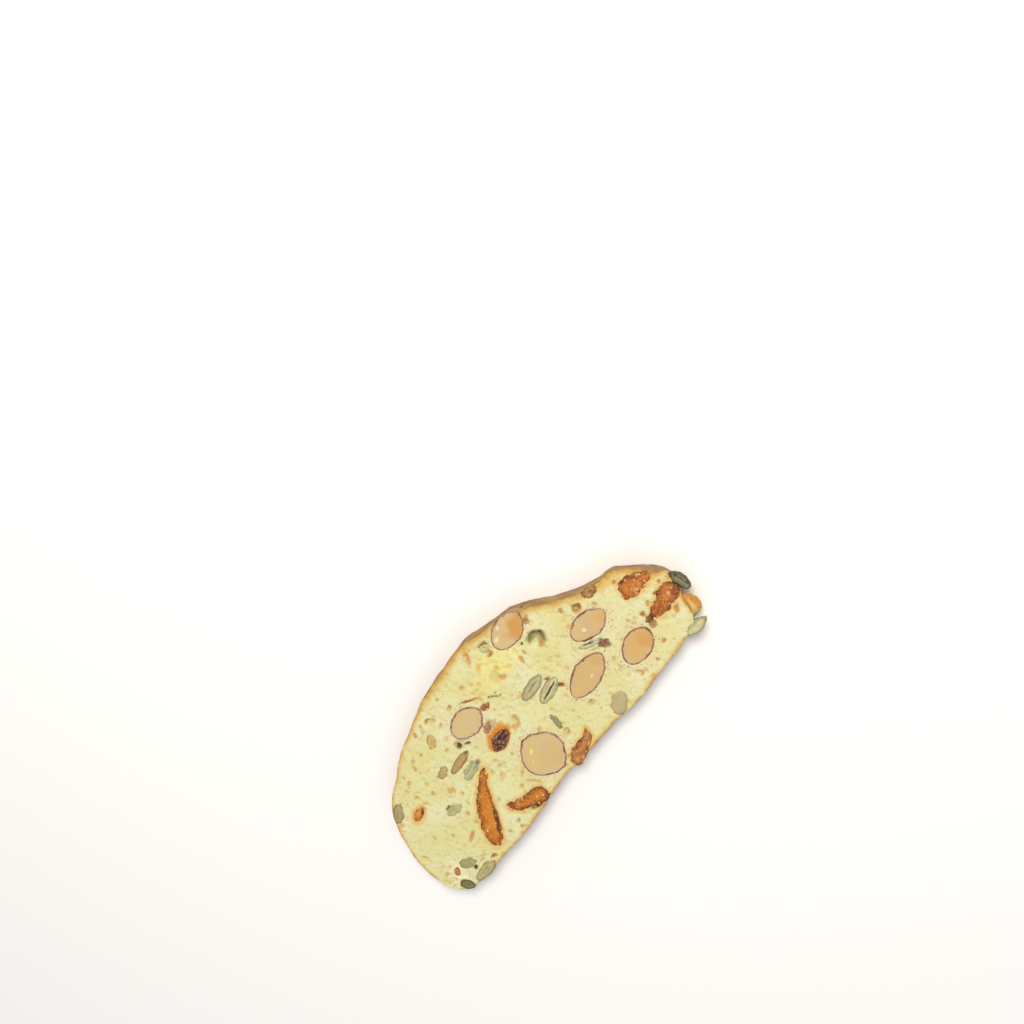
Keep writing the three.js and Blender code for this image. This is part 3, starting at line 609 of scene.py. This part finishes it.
# Dark dust is thicker beside the nuts, and the browning doesn't stop along an even line
dust_reach = add_node(baked_dough, "Math", {0: here["near_nut"], 1: 0.07, 2: -0.71}, operation="MULTIPLY_ADD")
dust_at = add_node(baked_dough, "Math", {0: pattern["dust"], 1: dust_reach}, operation="ADD")
unevenly = add_node(baked_dough, "Math", {0: pattern["heat"], 1: 2.4, 2: -1.2}, operation="MULTIPLY_ADD")
baked_at = add_node(baked_dough, "Math", {0: here["baked"], 1: unevenly}, operation="ADD")
dough_colour = laid_over(baked_dough, pale, [
    (here["near_nut"], 0.0, 1.0, 0.35, linear("#dcc7a0")),
    (pattern["flecks"], 0.56, 0.7, 0.75, linear("#cbb578")),
    (dust_at, 0.0, 0.05, 0.8, linear("#86603c")),
    # Painted shade: the deeper a pore, the darker tan
    (here["opened"], 0.15, 1.1, 0.75, linear("#b8a360")),
    (here["toasted"], 0.0, 1.0, 0.85, toast_colour),
    (here["near_fruit"], 0.0, 1.0, 0.62, linear("#deaa4a")),
    (here["near_raisin"], 0.0, 1.0, 1.0, linear("#cd8424")),
    # The spots, with their painted shade and painted light
    (spots_here["Alpha"], 0.0, 1.0, 1.0, spots_here["Color"]),
    (baked_at, 3.2, 0.9, 0.8, linear("#d6b25a")),
    (baked_at, 1.8, 0.2, 0.85, linear("#c08c42")),
    (here["baked"], 0.6, 0.2, 1.0, crust_colour),
    (here["knob"], 0.0, 1.0, 1.0, knob_colour),
])
dress(baked_dough, dough_colour, pattern["fine_pores"], 0.7, 0.22)
set_in(crumb, "crumb", baked_dough)

# Almonds
# Whole kernels baked in the dough and cut by the knife: waxy cream inside, with a red-brown skin that shows
# as a thin wavy line round each cut. Those by the crust are toasted.
kernel_grain = 0.22
pocket_room = 0.36

# Height counts little where a kernel lies against the crust, because the crust leans
mostly_level = np.array([1, 1, 0.1])

# Orange-brown patches where the oven's heat reached a kernel
Patch = namedtuple("Patch", "x y reach toast")
toasted_patches = {
    "almond_1": [Patch(-3.0, -17.0, 7.5, 0.2)],
    "almond_2": [Patch(35.0, -1.5, 9.0, 0.25), Patch(38.0, -1.0, 3.2, 0.4)],
    "almond_3": [Patch(22.6, -8.7, 13.0, 0.3), Patch(27.6, -8.2, 3.4, 0.5)],
    "almond_4": [Patch(38.0, -14.2, 10.0, 0.35), Patch(40.6, -14.6, 4.4, 0.7)],
    "almond_5": [Patch(21.3, 15.6, 4.8, 0.88)],
}

# Painted highlights: pale glints on the cut of some kernels, laid on as spots
highlight_cream = "#efe2c6"
painted_highlights = {
    "almond_1": [Spot(-7.3, -10.2, 2.2, 0.9, 20, highlight_cream, 0.75),
                 Spot(-9.4, -12.4, 0.9, 0.7, 0, highlight_cream, 0.75)],
    "almond_2": [Spot(32.2, 0.0, 1.7, 1.3, 0, highlight_cream, 0.75)],
    "almond_3": [Spot(22.7, -9.6, 1.2, 1.0, 0, highlight_cream, 0.75)],
    "almond_5": [Spot(17.4, 19.0, 1.6, 1.2, 30, highlight_cream, 0.75),
                 Spot(14.4, 17.2, 2.4, 1.6, 20, highlight_cream, 0.75)],
}


def cut_piece(node, name, grain, fill, waves, seed):
    """A held piece that fills its pocket, with how far each vertex is from the edge of its cut"""
    piece = fine_skin(node, name, grain)
    places = read_vertices(piece, "co")
    normals = read_vertices(piece, "normal")
    pushed = fill + sum(height * lumps(places, size, seed) for height, size in waves)
    pushed = np.minimum(pushed, np.maximum(distance_to(places, wall) - 0.3, -0.1))
    places += (normals * (1, 1, 0)) * pushed[:, None]
    is_cut = np.abs(normals[:, 2]) > cut_facing
    near_face = (places[:, 2] > thickness - 0.8) | (places[:, 2] < 0.8)
    rim = distance_to(places, places[~is_cut & near_face])
    rim[~is_cut] = 0
    return piece, places, is_cut, rim


def press(piece, places, inward):
    """Sinks both cut faces of a piece by so much, and keeps it within the slice"""
    places[:, 2] += np.where(places[:, 2] > thickness / 2, -inward, inward)
    places[:, 2] = np.clip(places[:, 2], 0, thickness + proud)
    write_places(piece, places)


# Waxy kernel, satin where the knife passed, so it carries a soft highlight
almond_flesh = start_material("almond_flesh", Roughness=0.38, IOR=1.47, Subsurface_Weight=0.15,
                              Subsurface_Scale=0.8 * MM)
space = add_node(almond_flesh, "TexCoord").outputs["Object"]
here = {name: add_node(almond_flesh, "Attribute", attribute_name=name).outputs
        for name in ("rim", "toasted", "painted_glints", "crusted")}
skin_waver = add_node(almond_flesh, "TexNoise", {"Vector": space, "Scale": per_metre(0.9), "Detail": 2.0})
wavered = add_node(almond_flesh, "Math", {0: skin_waver, 1: 0.9, 2: -0.45}, operation="MULTIPLY_ADD")
rim_at = add_node(almond_flesh, "Math", {0: here["rim"]["Fac"], 1: wavered}, operation="ADD")
toned = add_node(almond_flesh, "TexNoise", {"Vector": space, "Scale": per_metre(6.0), "Detail": 2.0})
heart = add_node(almond_flesh, "ValToRGB", {0: toned},
                 stops=[(0.36, "#cbb486"), (0.5, "#ceb67c"), (0.64, "#d2b470")])
skin_tone = add_node(almond_flesh, "ValToRGB", {0: toned}, stops=[(0.42, "#763e28"), (0.6, "#a2684a")])
kernel_colour = laid_over(almond_flesh, linear("#c9b189"), [
    (rim_at, 0.5, 1.6, 1.0, heart),
    (here["toasted"]["Fac"], 0.0, 1.0, 1.0, linear("#c99044")),
    # Painted highlights on the cut
    (here["painted_glints"]["Alpha"], 0.0, 1.0, 1.0, here["painted_glints"]["Color"]),
    (rim_at, 0.42, 0.2, 0.9, skin_tone),
    (here["crusted"]["Fac"], 0.0, 1.0, 1.0, linear("#a08052")),
])
knife_marks = add_node(almond_flesh, "TexNoise", {"Vector": space, "Scale": per_metre(0.9), "Detail": 4.0})
dress(almond_flesh, kernel_colour, knife_marks, 0.5, 0.15)

for number, node in enumerate(nodes_named("almond"), 1):
    kernel, places, is_cut, rim = cut_piece(node, f"almond_kernel_{number}", kernel_grain, pocket_room,
                                            [(0.16, 1.6), (0.08, 0.6)], 20 + number)
    uneven = 0.05 * lumps(places, 2.4, 30) + 0.03 * lumps(places, 0.8, 31)
    uneven += 0.06 * smooth_step(-rim, -0.6, -0.2)
    is_upper = places[:, 2] > thickness / 2
    press(kernel, places, is_cut * np.where(is_upper, -uneven, 0.04 + np.abs(uneven)))
    paint(kernel, "rim", rim)
    # Crust closes over the side of a kernel that lies against it
    from_wall = distance_to(places * mostly_level, wall * mostly_level)
    paint(kernel, "crusted", smooth_step(-from_wall, -1.2, -0.7) * ~is_cut)
    toast = np.zeros(len(places))
    for patch in toasted_patches.get(node, []):
        away = np.hypot(places[:, 0] - patch.x, places[:, 1] - patch.y) / patch.reach
        toast = np.maximum(toast, patch.toast * smooth_step(-away - 0.3 * lumps(places, 2.0, 33), -1.0, -0.3))
    paint(kernel, "toasted", toast)
    # Painted highlights on the cut
    painted_glints = stains_and_painted_light(places, painted_highlights.get(node, []), 1.0, 0.3 * lumps(places, 0.8, 34), (0.2, 1.2))
    paint_colour(kernel, "painted_glints", painted_glints)
    set_in(kernel, node, almond_flesh)

# Pumpkin seeds
# Hulled kernels, grey-green with a thin darker skin. Where the knife split one along its length, the two
# seed leaves part at a slit, painted dark as its shade. Some took up colour from the fruit or scorched in
# the crust, and one that lies under the crust's edge is painted dark with its shade.
seed_grain = 0.18

# The colour inside, that of the skin, and the slits: how far each lies aside of the seed's middle line,
# where it starts and ends along it, its half width, and how dark its painted shade is from 0 to 1
seed_looks = {
    1: {"leaf": "#bdb284", "skin": "#7a7650",
        "slits": [(0.1, -3.0, 3.2, 0.2, 0.75), (0.95, -2.4, 3.0, 0.14, 0.25)]},
    2: {"leaf": "#cec594", "skin": "#7f7c54",
        "slits": [(-0.1, -3.6, 3.4, 0.36, 1.0), (0.95, -3.0, 3.0, 0.18, 0.4),
                  (-1.05, -2.8, 2.8, 0.18, 0.35)]},
    3: {"leaf": "#cec38e", "skin": "#a08040", "slits": [(0.2, -0.9, 0.9, 0.2, 0.4)]},
    4: {"leaf": "#cbb26c", "skin": "#a58a44", "slits": [(0.0, -1.2, 1.4, 0.3, 0.25)]},
    5: {"leaf": "#baa76a", "skin": "#8f7638", "slits": []},
    6: {"leaf": "#b69a64", "skin": "#8c6f42", "slits": [(0.15, 2.6, 4.6, 0.25, 0.9)]},
    7: {"leaf": "#bdb788", "skin": "#8e8b62",
        "slits": [(0.5, -2.8, 3.4, 0.3, 0.4), (-0.6, 0.4, 3.4, 0.3, 0.5)]},
    8: {"leaf": "#aca06c", "skin": "#76683c", "slits": [(0.3, -2.6, 1.6, 0.2, 0.5)]},
    9: {"leaf": "#bab37c", "skin": "#888354", "slits": [(0.5, -1.8, 1.2, 0.2, 0.3)]},
    10: {"leaf": "#a69e6c", "skin": "#736c40", "slits": []},
    11: {"leaf": "#bcb078", "skin": "#777146",
        "slits": [(0.3, -3.4, 2.4, 0.2, 0.5), (-0.5, -2.4, 3.0, 0.2, 0.35)]},
    12: {"leaf": "#7f7a48", "skin": "#4d4826", "slits": [(0.2, -1.4, 1.0, 0.25, 0.4)]},
    # Seed 13 lies under the crust's edge: its near-black skin is partly painted shade
    13: {"leaf": "#88835a", "skin": "#2e2a18",
        "slits": [(0.5, -2.4, 2.4, 0.22, 0.9), (-0.35, -2.0, 2.2, 0.16, 0.7)]},
    14: {"leaf": "#cdc596", "skin": "#76734e", "slits": [(0.7, -2.6, 2.2, 0.2, 0.4)]},
    15: {"leaf": "#cbc29a", "skin": "#968d68", "slits": [(0.35, -1.8, 1.6, 0.3, 1.0)]},
    16: {"leaf": "#b8a87c", "skin": "#a2966c", "slits": []},
    17: {"leaf": "#a5a170", "skin": "#6b6842", "slits": [(0.1, -1.6, 1.6, 0.25, 0.6)]},
}
plain_seed = {"leaf": "#b6af80", "skin": "#7c7852", "slits": [(0.0, -2.6, 2.6, 0.22, 0.5)]}

# Colour that the seeds took up, a painted highlight, and painted shade where a seed lies under the crust's
# edge, on the shown face
seed_spots = [
    Spot(-22.6, 2.8, 6.8, 0.9, 3, "#b25c26", 0.85),
    # A painted highlight
    Spot(-27.1, -1.2, 1.1, 0.8, 0, "#f7f3e2", 0.9),
    Spot(-20.2, -0.2, 1.8, 2.0, 0, "#756a3c", 0.85),
    Spot(-49.8, 6.0, 2.2, 1.0, 30, "#54492a", 0.8),
    # Painted shade where a seed lies under the crust's edge
    Spot(58.2, -11.4, 1.3, 6.0, 5, "#26241a", 0.9),
    Spot(60.2, -9.6, 1.6, 1.2, 0, "#24241a", 0.85),
    Spot(60.4, -13.4, 1.0, 1.4, 0, "#302c1e", 0.8),
]

# Dry satin seed flesh, faintly streaked, paler inside than its thin green skin
seed_flesh = start_material("pumpkin_seed_flesh", Roughness=0.48, IOR=1.46, Subsurface_Weight=0.08,
                            Subsurface_Scale=0.5 * MM)
space = add_node(seed_flesh, "TexCoord").outputs["Object"]
here = {name: add_node(seed_flesh, "Attribute", attribute_name=name).outputs
        for name in ("rim", "slit", "leaf", "skin", "spots")}
toned = add_node(seed_flesh, "TexNoise",
                 {"Vector": space, "Scale": per_metre(1.4), "Detail": 4.0, "Roughness": 0.65})
uneven_rim = add_node(seed_flesh, "Math", {0: toned, 1: 0.6, 2: -0.3}, operation="MULTIPLY_ADD")
rim_at = add_node(seed_flesh, "Math", {0: here["rim"]["Fac"], 1: uneven_rim}, operation="ADD")
seed_colour = laid_over(seed_flesh, here["leaf"]["Color"], [
    (toned, 0.4, 0.66, 0.4, here["skin"]["Color"]),
    (rim_at, 0.6, 0.1, 0.7, here["skin"]["Color"]),
    (here["spots"]["Alpha"], 0.0, 1.0, 1.0, here["spots"]["Color"]),
    # The slits painted dark as their shade
    (here["slit"]["Fac"], 0.0, 1.0, 1.0, linear("#38301c")),
])
dress(seed_flesh, seed_colour, toned, 0.6, 0.2)

for number, node in enumerate(nodes_named("pumpkin_seed"), 1):
    seed, places, is_cut, rim = cut_piece(node, f"pumpkin_seed_kernel_{number}", seed_grain, pocket_room,
                                          [(0.12, 1.2), (0.1, 0.5)], 50 + number)
    looks = seed_looks.get(number, plain_seed)
    is_cut &= (places[:, 2] > thickness - 0.5) | (places[:, 2] < 0.5)
    middle = places[is_cut, :2].mean(0)
    spread, directions = np.linalg.eigh(np.cov((places[is_cut, :2] - middle).T))
    ahead = directions[:, 1] * (1 if directions[0, 1] > 0 else -1)
    along = (places[:, :2] - middle) @ ahead
    aside = (places[:, :2] - middle) @ np.array([-ahead[1], ahead[0]]) + 0.12 * lumps(places, 1.3, 60)
    # How dark each slit's painted shade is
    slit = np.zeros(len(places))
    for offset, start, end, wide, dark in looks["slits"]:
        tapered = wide * np.sqrt(np.clip(1 - ((2 * along - start - end) / (end - start)) ** 2, 0, 1))
        slit = np.maximum(slit, dark * smooth_step(tapered - np.abs(aside - offset), 0.0, 0.16))
    slit *= is_cut
    crown = 0.24 * smooth_step(rim, 0.0, 1.1) - 0.16 + 0.05 * lumps(places, 0.8, 61)
    press(seed, places, is_cut * (0.45 * slit - crown))
    paint(seed, "rim", rim)
    paint(seed, "slit", slit)
    shown = is_cut & (places[:, 2] > thickness / 2)
    paint_colour(seed, "spots", stains_and_painted_light(places, seed_spots, shown, 0.2 * lumps(places, 0.7, 62), (0.5, 1.1)))
    for name in ("leaf", "skin"):
        paint_colour(seed, name, [(looks[name], 1.0)])
    set_in(seed, node, seed_flesh)

# Dried apricot
# Chopped strips of sticky dried fruit: amber where they stayed soft, red-brown where they dried hardest
# along the ragged edges, with crumbs and grains of sugar stuck to the cut.
strip_grain = 0.2
strip_room = 0.3
sites_tried = 4000

# The colour in the middle of each strip and at its edges, and its sugar grains and crumbs per square mm
strip_looks = {
    1: {"pulp": "#c87a0c", "edge": "#82420a", "grains": 0.22},
    2: {"pulp": "#c27410", "edge": "#74340b", "grains": 0.5},
    3: {"pulp": "#c07420", "edge": "#84400e", "grains": 0.26},
    4: {"pulp": "#be7222", "edge": "#7e3c0e", "grains": 0.26},
    5: {"pulp": "#c08240", "edge": "#86481a", "grains": 0.3},
    6: {"pulp": "#dd9c44", "edge": "#b05c1e", "grains": 0.1},
}

# Darker and paler places on the shown face of the strips
strip_spots = [
    Spot(-31.5, -12.6, 13.0, 1.6, 47, "#cf8718", 0.65),
    Spot(-32.2, -15.4, 10.5, 1.3, 48, "#54240a", 0.9),
    Spot(-33.6, -9.8, 9.0, 1.0, 28, "#84440e", 0.75),
    Spot(-36.6, -19.6, 3.6, 2.2, 40, "#a9521c", 0.7),
    Spot(-24.2, -6.4, 6.0, 1.6, 45, "#a8581a", 0.6),
    Spot(-17.0, -19.6, 4.2, 2.2, -20, "#c97a12", 0.7),
    Spot(-15.2, -22.2, 3.2, 2.6, -20, "#642a10", 0.9),
    # A dark gap along the strip's edge, painted as its shade
    Spot(-19.9, -21.5, 7.2, 1.0, -31, "#2e1c0c", 0.95),
    Spot(52.0, -1.2, 6.5, 1.4, -38, "#8c3e10", 0.75),
    Spot(49.4, -4.6, 3.4, 1.6, 10, "#9c4a12", 0.6),
    Spot(56.6, -12.6, 3.6, 4.6, 0, "#7c3a14", 0.7),
    Spot(50.4, -11.8, 5.0, 1.2, 20, "#8c4212", 0.7),
    Spot(54.8, -11.2, 1.3, 1.3, 0, "#dcb48c", 0.8),
    Spot(50.2, -3.8, 0.9, 0.9, 0, "#dcae80", 0.7),
    Spot(7.2, -19.4, 5.4, 1.3, 10, "#c08658", 0.6),
    Spot(2.0, -21.4, 4.5, 1.6, -15, "#98521e", 0.6),
    Spot(-44.9, 3.1, 3.0, 1.0, 25, "#6a2810", 0.95),
]

# Sticky dried fruit: satin amber, streaked along the flesh, that lets light in a little way
dried_apricot = start_material("dried_apricot", Roughness=0.4, IOR=1.45, Subsurface_Weight=0.12,
                               Subsurface_Scale=0.7 * MM)
space = add_node(dried_apricot, "TexCoord").outputs["Object"]
here = {name: add_node(dried_apricot, "Attribute", attribute_name=name).outputs
        for name in ("rim", "pulp", "edge", "spots")}
toned = add_node(dried_apricot, "TexNoise",
                 {"Vector": space, "Scale": per_metre(1.9), "Detail": 5.0, "Roughness": 0.7})
uneven_rim = add_node(dried_apricot, "Math", {0: toned, 1: 5.0, 2: -2.5}, operation="MULTIPLY_ADD")
depth_in = add_node(dried_apricot, "Math", {0: here["rim"]["Fac"], 1: uneven_rim}, operation="ADD")
fibres = add_node(dried_apricot, "TexNoise",
                  {"Vector": space, "Scale": per_metre(0.8), "Detail": 3.0, "Roughness": 0.6})
fruit_colour = laid_over(dried_apricot, here["pulp"]["Color"], [
    (depth_in, 1.5, -0.1, 1.0, here["edge"]["Color"]),
    (fibres, 0.54, 0.68, 0.7, here["edge"]["Color"]),
    (fibres, 0.44, 0.32, 0.6, linear("#d99a4e")),
    (here["spots"]["Alpha"], 0.0, 1.0, 1.0, here["spots"]["Color"]),
])
dress(dried_apricot, fruit_colour, toned, 0.9, 0.4)

for number, node in enumerate(nodes_named("apricot"), 1):
    strip, places, is_cut, rim = cut_piece(node, f"dried_apricot_strip_{number}", strip_grain, strip_room,
                                           [(0.34, 1.3), (0.4, 0.6)], 70 + number)
    looks = strip_looks[number]
    is_shown = is_cut & (places[:, 2] > thickness / 2)
    frayed = 0.3 * lumps(places, 0.9, 79) + 0.2 * lumps(places, 0.4, 78)
    layers = stains_and_painted_light(places, strip_spots, is_shown, frayed, (0.5, 1.2))
    # Sugar grains and crumbs lie thickest along the edges
    random = np.random.default_rng(700 + number)
    sites = places[random.choice(np.flatnonzero(is_cut), sites_tried)]
    near_rim = random.random(sites_tried) < np.exp(-distance_to(sites, places[~is_cut]) / 0.7)
    extent = is_cut.sum() * strip_grain ** 2
    sites = sites[near_rim][:int(extent * looks["grains"])]
    grain, away = nearest_to(places, sites)
    grain_size = 0.16 + 0.26 * np.modf(np.abs(grain[:, 0] * 7.3 + grain[:, 1] * 3.1))[0]
    on_grain = is_cut * smooth_step(grain_size + 0.12 * lumps(places, 0.4, 77) - away, -0.06, 0.1)
    layers.append(("#e9bb7c", 0.8 * on_grain))
    sunken = 0.12 + 0.2 * np.abs(lumps(places, 1.5, 80)) + 0.14 * lumps(places, 0.6, 81) - 0.22 * on_grain
    press(strip, places, is_cut * sunken)
    paint(strip, "rim", rim)
    for name in ("pulp", "edge"):
        paint_colour(strip, name, [(looks[name], 1.0)])
    paint_colour(strip, "spots", layers)
    set_in(strip, node, dried_apricot)

# Raisins
# Whole raisins, cut through with the dough: folds of dark skin round sticky red-brown flesh. Their juice
# coloured the crumb beside them while it baked.
raisin_grain = 0.2
raisin_room = 0.3

# Folded dried flesh, painted with shade in its sunken folds and with pale highlights along their ridges
raisin_flesh = start_material("raisin_flesh", Roughness=0.42, IOR=1.46)
space = add_node(raisin_flesh, "TexCoord").outputs["Object"]
here = {name: add_node(raisin_flesh, "Attribute", attribute_name=name).outputs["Fac"]
        for name in ("rim", "fold")}
toned = add_node(raisin_flesh, "TexNoise",
                 {"Vector": space, "Scale": per_metre(0.75), "Detail": 4.0, "Roughness": 0.7})
folded = add_node(raisin_flesh, "Math", {0: toned, 1: here["fold"]}, operation="SUBTRACT")
# The darker tones lie in the folds as painted shade; the palest is a painted highlight
folds = add_node(raisin_flesh, "ValToRGB", {0: folded},
                 stops=[(0.1, "#2a0e0a"), (0.42, "#4c2015"), (0.54, "#7d4a34"), (0.64, "#c9a692")])
raisin_colour = laid_over(raisin_flesh, folds, [(here["rim"], 0.9, 0.1, 0.8, linear("#8c4a10"))])
dress(raisin_flesh, raisin_colour, toned, 0.7, 0.3)

for number, node in enumerate(nodes_named("raisin"), 1):
    raisin, places, is_cut, rim = cut_piece(node, f"raisin_flesh_{number}", raisin_grain, raisin_room,
                                            [(0.35, 1.3), (0.2, 0.6)], 90 + number)
    ridge = np.abs(lumps(places, 1.5, 95) + 0.5 * lumps(places, 0.8, 96))
    sunken = 0.42 * smooth_step(-ridge, -0.35, 0.0) + 0.1 * np.abs(lumps(places, 0.6, 97))
    press(raisin, places, is_cut * (sunken - 0.12 * (places[:, 2] > thickness / 2)))
    paint(raisin, "rim", rim)
    # How much painted shade the sunken folds take
    paint(raisin, "fold", 0.3 * smooth_step(-ridge, -0.3, 0.0))
    set_in(raisin, node, raisin_flesh)

# Flakes of skin
# Torn bits of almond skin and dark fruit that the dough took up when it was mixed. They are thin and dry,
# and the knife cut them with ragged edges.
flake_grain = 0.16
flake_room = 0.24

# The colour of each flake, and that of the paler patches in it
flake_looks = {
    1: {"dark": "#7a4a24", "pale": "#b38a52"},
    2: {"dark": "#8c4c26", "pale": "#b4824c"},
    3: {"dark": "#98603c", "pale": "#bf9a6e"},
    4: {"dark": "#744630", "pale": "#a27c60"},
    5: {"dark": "#4a3014", "pale": "#9a7238"},
    6: {"dark": "#94501c", "pale": "#c88a3c"},
}
plain_flake = {"dark": "#83462c", "pale": "#b58a5c"}

# Thin dry skin: matt, red-brown, paler where it is thin
almond_skin = start_material("almond_skin", Roughness=0.62, IOR=1.45)
space = add_node(almond_skin, "TexCoord").outputs["Object"]
here = {name: add_node(almond_skin, "Attribute", attribute_name=name).outputs["Color"]
        for name in ("dark", "pale")}
toned = add_node(almond_skin, "TexNoise",
                 {"Vector": space, "Scale": per_metre(1.3), "Detail": 4.0, "Roughness": 0.6})
flake_colour = laid_over(almond_skin, here["dark"], [(toned, 0.42, 0.62, 1.0, here["pale"])])
dress(almond_skin, flake_colour, toned, 0.6, 0.2)

for number, node in enumerate(nodes_named("skin_flake"), 1):
    flake, places, is_cut, rim = cut_piece(node, f"almond_skin_flake_{number}", flake_grain, flake_room,
                                           [(0.28, 1.4), (0.12, 0.6)], 100 + number)
    looks = flake_looks.get(number, plain_flake)
    press(flake, places, is_cut * (0.1 + 0.3 * np.abs(lumps(places, 0.9, 105))))
    for name in ("dark", "pale"):
        paint_colour(flake, name, [(looks[name], 1.0)])
    set_in(flake, node, almond_skin)

# The table
# A plain white surface that the slice lies on, large enough to run out of sight in every view. It is a
# matt laminate, so the eye sees nothing on it but the slice's soft shadow.
table_half = 3.0
table_mesh = bpy.data.meshes.new("table_top")
corners = [(x * table_half, y * table_half, 0) for x, y in ((-1, -1), (1, -1), (1, 1), (-1, 1))]
table_mesh.from_pydata(corners, [], [(0, 1, 2, 3)])
table = bpy.data.objects.new("table_top", table_mesh)
bpy.context.scene.collection.objects.link(table)
white_laminate = start_material("white_laminate", Roughness=0.6, IOR=1.45, Base_Color=linear("#f7f6f4"))
table.data.materials.append(white_laminate)

# Light and camera
# Soft daylight from one side, as from a window, and a pale room all round. The camera looks down on the
# slice at the photograph's angle.
world = bpy.data.worlds.new("pale_room")
bpy.context.scene.world = world
world.use_nodes = True
world.node_tree.nodes["Background"].inputs["Color"].default_value = linear("#ffffff")
world.node_tree.nodes["Background"].inputs["Strength"].default_value = 0.55

lamps = [
    {"name": "window", "place": (0.38, 0.26, 0.6), "size": 0.3, "power": 4.1, "colour": "#fffaf2"},
    {"name": "room_fill", "place": (-0.4, -0.5, 0.6), "size": 0.8, "power": 0.9, "colour": "#f6f8ff"},
]
for lamp in lamps:
    light = bpy.data.lights.new(lamp["name"], "AREA")
    light.shape = "DISK"
    light.size = lamp["size"]
    light.energy = lamp["power"]
    light.color = linear(lamp["colour"])[:3]
    holder = bpy.data.objects.new(lamp["name"], light)
    holder.location = lamp["place"]
    holder.rotation_euler = (-holder.location).to_track_quat("-Z", "Y").to_euler()
    bpy.context.scene.collection.objects.link(holder)

# The camera's place in metres and its turn in degrees
camera_place = (0.1379, 0.03917, 0.27699)
camera_turn = (-15.6, 10.2, -54.92)
lens = bpy.data.cameras.new("camera")
lens.sensor_width = 36.0
lens.lens = 37.48
lens.clip_start = 0.01
camera = bpy.data.objects.new("camera", lens)
camera.location = camera_place
camera.rotation_euler = [math.radians(angle) for angle in camera_turn]
bpy.context.scene.collection.objects.link(camera)
bpy.context.scene.camera = camera
bpy.context.scene.view_settings.view_transform = "Standard"
